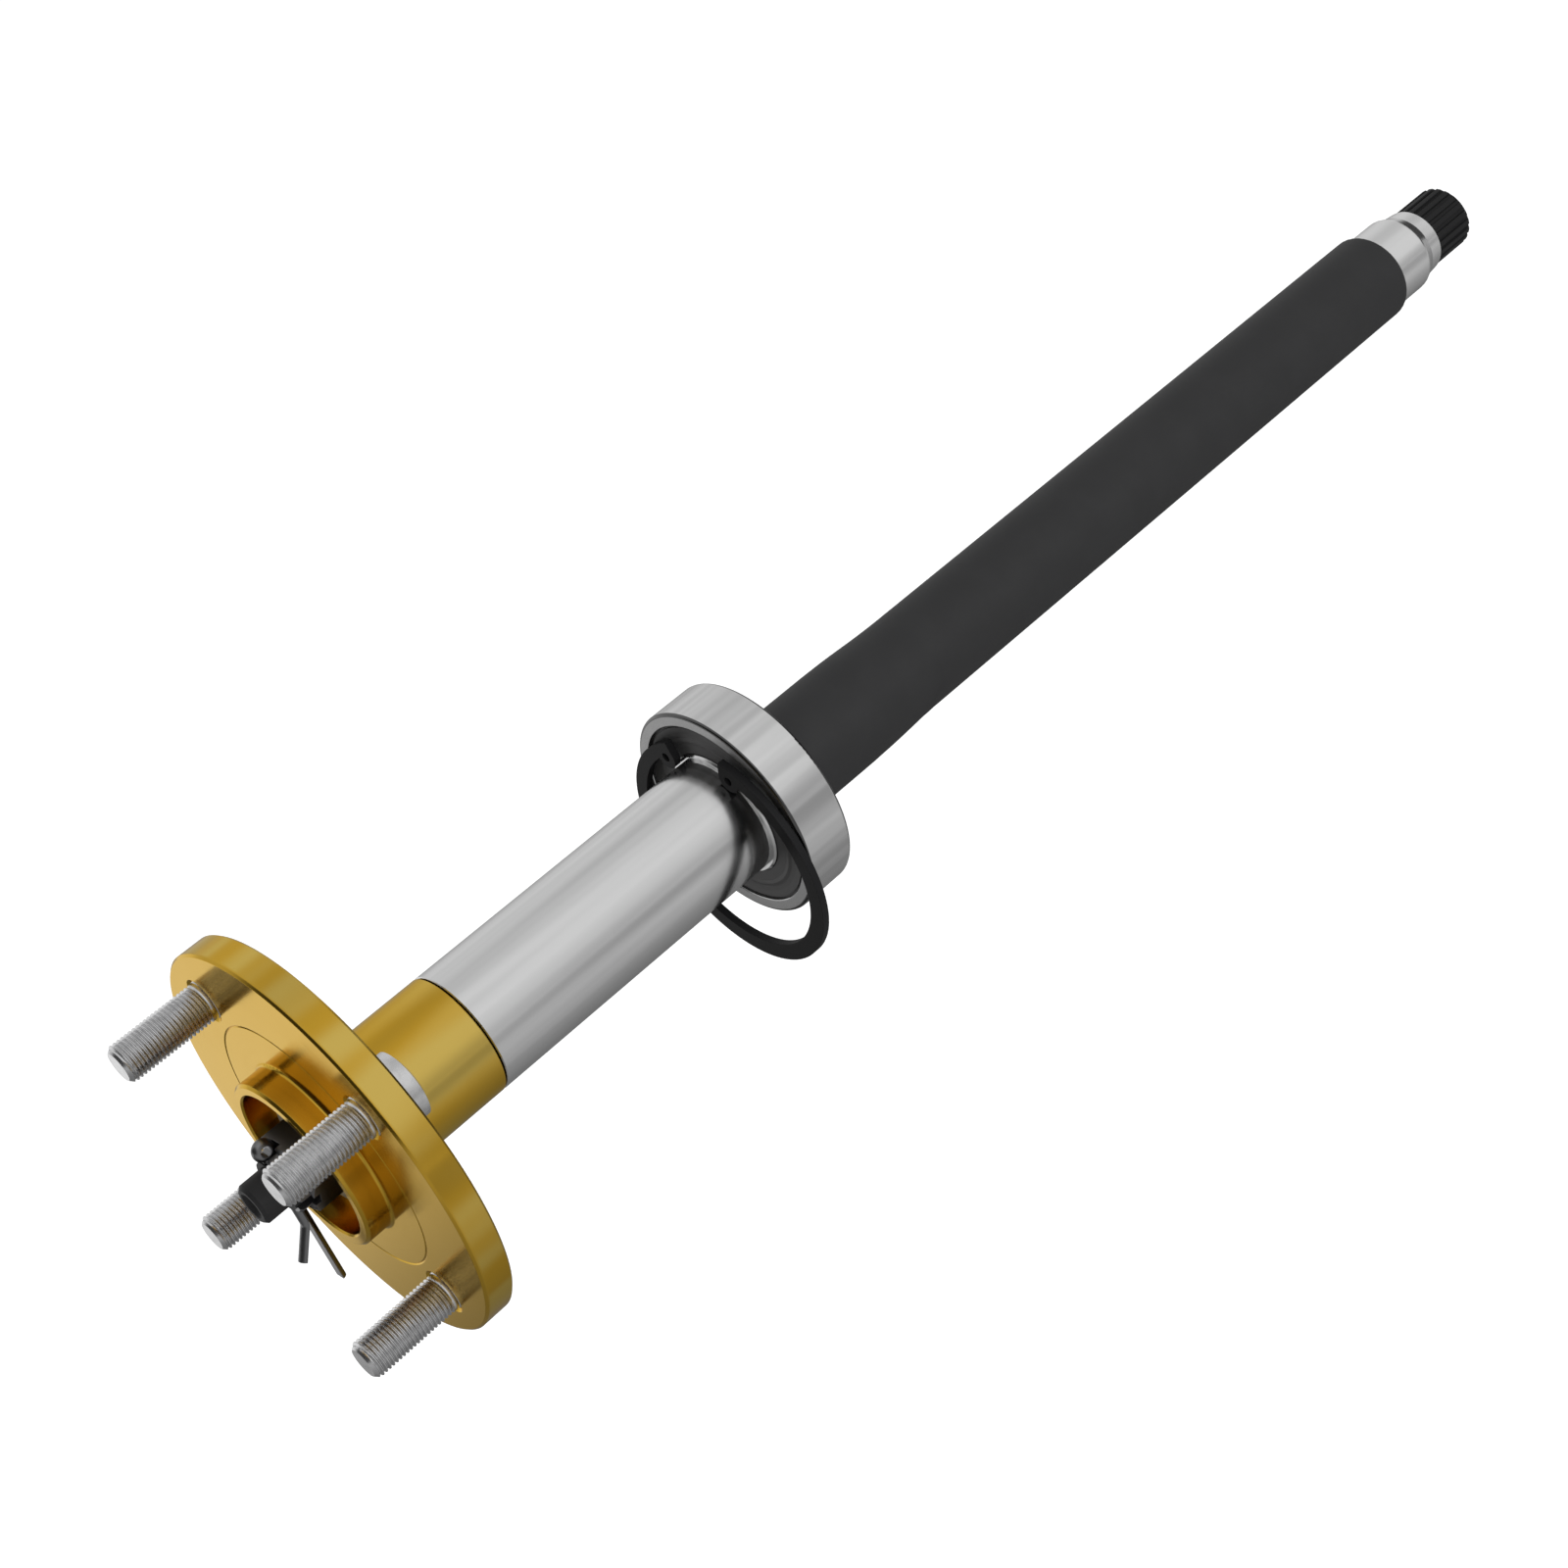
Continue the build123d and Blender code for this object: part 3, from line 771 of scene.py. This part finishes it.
class RearAxle:
    """The dressed axle: every node gets its finish, and the plain studs get threads."""

    def __init__(self, nodes: dict[str, bpy.types.Object], record: dict) -> None:
        """Keeps the frame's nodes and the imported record."""
        self.nodes = nodes
        self.record = record
        self.materials: dict[Finishes, bpy.types.Material] = {}

    def material(self, finish: Finishes) -> bpy.types.Material:
        """The material of a finish, built once."""
        if finish not in self.materials:
            self.materials[finish] = finish.value.material()
        return self.materials[finish]

    def body_of(self, node: str) -> str:
        """The body that a node belongs to."""
        bodies = self.record["behaviour"]["bodies"]
        return next(body for body, members in bodies.items() if node in members)

    def dress(self) -> None:
        """Gives the CAD nodes their finishes."""
        for name, node in self.nodes.items():
            spare = Finishes.BALL if name.startswith(BALL_PREFIX) else None
            finish = NODE_FINISHES.get(name, spare)
            if finish is None:
                continue
            node.data.materials.clear()
            node.data.materials.append(self.material(finish))
            log.info("%s: finish %s", name, finish.value.name)

    def thread_studs(self) -> None:
        """Replaces each plain stud by a threaded one."""
        pattern = next(m for m in self.record["mounts"] if m["name"] == "wheel_studs")
        radius = pattern["dims"]["stud_r_mm"] * MM
        for name in sorted(self.nodes):
            if not name.startswith(STUD_PREFIX):
                continue
            stud = WheelStud(name, radius).build(self.material(Finishes.STUD))
            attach(stud, self.body_of(name))
            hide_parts(name)
            log.info("%s: %d faces", stud.name, len(stud.data.polygons))


@dataclass(frozen=True)
class Softbox:
    """A rectangular lamp that faces a point. Mirrors show the tent and not the lamp."""

    name: str
    place: Point
    target: Point
    size: tuple[float, float]
    radiance: float

    def build(self) -> None:
        """Adds the lamp, with the power that gives its face the stated radiance."""
        lamp = bpy.data.lights.new(self.name, "AREA")
        lamp.shape = "RECTANGLE"
        lamp.size, lamp.size_y = self.size
        lamp.energy = self.radiance * math.pi * self.size[0] * self.size[1]
        holder = bpy.data.objects.new(self.name, lamp)
        holder.location = self.place
        holder.visible_glossy = False
        aim = Vector(self.target) - Vector(self.place)
        holder.rotation_euler = aim.to_track_quat("-Z", "Y").to_euler()
        bpy.context.scene.collection.objects.link(holder)


@dataclass(frozen=True)
class Studio:
    """A light tent round the axle, with its floor, lamps and camera.

    The tent's brightness depends on the angle round the axle line. Angles are in degrees
    from +Y, which points away from the camera, towards +Z. A pale wall stands at the back,
    then comes a dimmer gap, a broad panel over the axle, and a dimmer front. In reflections
    the floor glows: pale in front and at the back, with painted shade under the axle.
    """

    floor_height: float = -0.60
    floor_half_width: float = 14.0
    floor_colour: Colour = (0.55, 0.55, 0.55)
    floor_glow: float = 0.68
    tent: tuple[tuple[float, float], ...] = (
        (0, 0.7), (30, 0.8), (65, 0.65), (110, 0.85), (150, 0.85), (180, 0.55),
    )
    floor_mirror: tuple[tuple[float, float], ...] = (
        (-2.5, 0.45), (-1.0, 0.6), (0.4, 0.2), (2.5, 0.55),
    )
    end_dimming: float = 0.92
    outboard_end: tuple[float, float] = (-0.50, -0.72)
    inboard_end: tuple[float, float] = (0.84, 0.93)
    bright_side: tuple[float, float] = (0.10, -0.12)
    bright_depth: tuple[float, float] = (0.46, 0.88)
    camera_place: Point = (-0.1613, -0.5405, 0.4223)
    camera_azimuth: float = 32.64
    camera_elevation: float = 33.37
    camera_roll: float = 20.33
    lens: float = 58.33
    sensor: float = 36.0
    shift: tuple[float, float] = (-0.0073, -0.0176)
    near_clip: float = 0.01

    def build(self) -> None:
        """Sets up the whole studio."""
        self.add_floor()
        self.light_world()
        for box in self.softboxes():
            box.build()
        self.add_camera()
        bpy.context.scene.view_settings.view_transform = "Standard"

    def softboxes(self) -> list[Softbox]:
        """Two lamps that shade the dull surfaces and give the shadows a direction."""
        return [
            Softbox(
                name="overhead",
                place=(0.6, -0.4, 1.9),
                target=(0.30, 0.0, 0.0),
                size=(1.6, 0.7),
                radiance=0.6,
            ),
            Softbox(
                name="over_camera",
                place=(0.2, -1.7, 0.9),
                target=(0.25, 0.0, 0.0),
                size=(1.8, 1.0),
                radiance=6.0,
            ),
        ]

    def add_floor(self) -> None:
        """Adds a pale floor well below the held axle."""
        bm = bmesh.new()
        bmesh.ops.create_grid(bm, x_segments=1, y_segments=1, size=self.floor_half_width)
        bmesh.ops.translate(bm, vec=(0, 0, self.floor_height), verts=bm.verts)
        floor = finished_piece("floor", bm, self.floor_material())

    def floor_material(self) -> bpy.types.Material:
        """Matt pale floor: white to the camera apart from shadows; in reflections it glows instead,
        with painted shade under the axle and a painted bright patch.
        """
        material = bpy.data.materials.new("floor")
        material.use_nodes = True
        graph = ShaderGraph(material.node_tree)
        place = graph.add("ShaderNodeTexCoord", {}, {}).outputs["Object"]
        split = graph.add("ShaderNodeSeparateXYZ", {}, {"Vector": place})
        along = ShaderValue(graph, split.outputs["X"])
        away = ShaderValue(graph, split.outputs["Y"])
        rays = graph.add("ShaderNodeLightPath", {}, {})
        seen = ShaderValue(graph, rays.outputs["Is Camera Ray"])
        matt = graph.add("ShaderNodeBsdfDiffuse", {}, {"Color": (*self.floor_colour, 1.0)})
        light = graph.add("ShaderNodeEmission", {}, {"Strength": self.floor_glow * seen})
        direct = graph.add(
            "ShaderNodeAddShader", {}, {0: matt.outputs["BSDF"], 1: light.outputs["Emission"]}
        )
        # In reflections the floor is an emission: the dark stretch under the axle is painted shade,
        # and the patch that the wheel face sees is a painted bright patch.
        stops = list(self.floor_mirror)
        shade = away.profile(stops[0][0], stops[-1][0], stops)
        patch = along.rise(*self.bright_side) * away.rise(*self.bright_depth)
        mirror = graph.add("ShaderNodeEmission", {}, {"Strength": shade + patch * (1 - shade)})
        both = graph.add(
            "ShaderNodeMixShader",
            {},
            {
                0: rays.outputs["Is Glossy Ray"],
                1: direct.outputs["Shader"],
                2: mirror.outputs["Emission"],
            },
        )
        graph.add("ShaderNodeOutputMaterial", {}, {"Surface": both.outputs["Shader"]})
        return material

    def light_world(self) -> None:
        """Lights the tent: bands along the axle, and a dim patch at each end of it."""
        world = bpy.data.worlds.new("studio")
        world.use_nodes = True
        bpy.context.scene.world = world
        graph = ShaderGraph(world.node_tree)
        way = graph.add("ShaderNodeTexCoord", {}, {}).outputs["Generated"]
        split = graph.add("ShaderNodeSeparateXYZ", {}, {"Vector": way})
        along = ShaderValue(graph, split.outputs["X"])
        height = ShaderValue(graph, split.outputs["Z"])
        angle = height.maths("ARCTAN2", height, ShaderValue(graph, split.outputs["Y"]))
        stops = list(self.tent)
        band = (angle * math.degrees(1.0)).profile(stops[0][0], stops[-1][0], stops)
        ends = along.rise(*self.outboard_end) + along.rise(*self.inboard_end)
        tent = band * (1 - self.end_dimming * ends)
        seen = graph.add("ShaderNodeLightPath", {}, {}).outputs["Is Camera Ray"]
        shown = ShaderValue(graph, seen)
        strength = tent + shown * (1 - tent)
        white = (1.0, 1.0, 1.0, 1.0)
        sky = graph.add("ShaderNodeBackground", {}, {"Color": white, "Strength": strength})
        graph.add("ShaderNodeOutputWorld", {}, {"Surface": sky.outputs["Background"]})

    def add_camera(self) -> None:
        """Places the camera at the photograph's viewpoint."""
        azimuth = math.radians(self.camera_azimuth)
        elevation = math.radians(self.camera_elevation)
        roll = math.radians(self.camera_roll)
        forward = Vector(
            (
                math.sin(azimuth) * math.cos(elevation),
                math.cos(azimuth) * math.cos(elevation),
                -math.sin(elevation),
            )
        )
        level_right = Vector((math.cos(azimuth), -math.sin(azimuth), 0.0))
        level_up = level_right.cross(forward)
        up = math.cos(roll) * level_up + math.sin(roll) * level_right
        right = forward.cross(up)
        matrix = Matrix((right, up, -forward)).transposed().to_4x4()
        matrix.translation = Vector(self.camera_place)
        data = bpy.data.cameras.new("camera")
        data.lens = self.lens
        data.sensor_width = self.sensor
        data.shift_x, data.shift_y = self.shift
        data.clip_start = self.near_clip
        camera = bpy.data.objects.new("camera", data)
        camera.matrix_world = matrix
        bpy.context.scene.collection.objects.link(camera)
        bpy.context.scene.camera = camera


def main() -> None:
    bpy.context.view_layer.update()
    axle = RearAxle(frame["nodes"], frame["record"])
    axle.dress()
    axle.thread_studs()
    Studio().build()


if __name__ == "__main__":
    main()
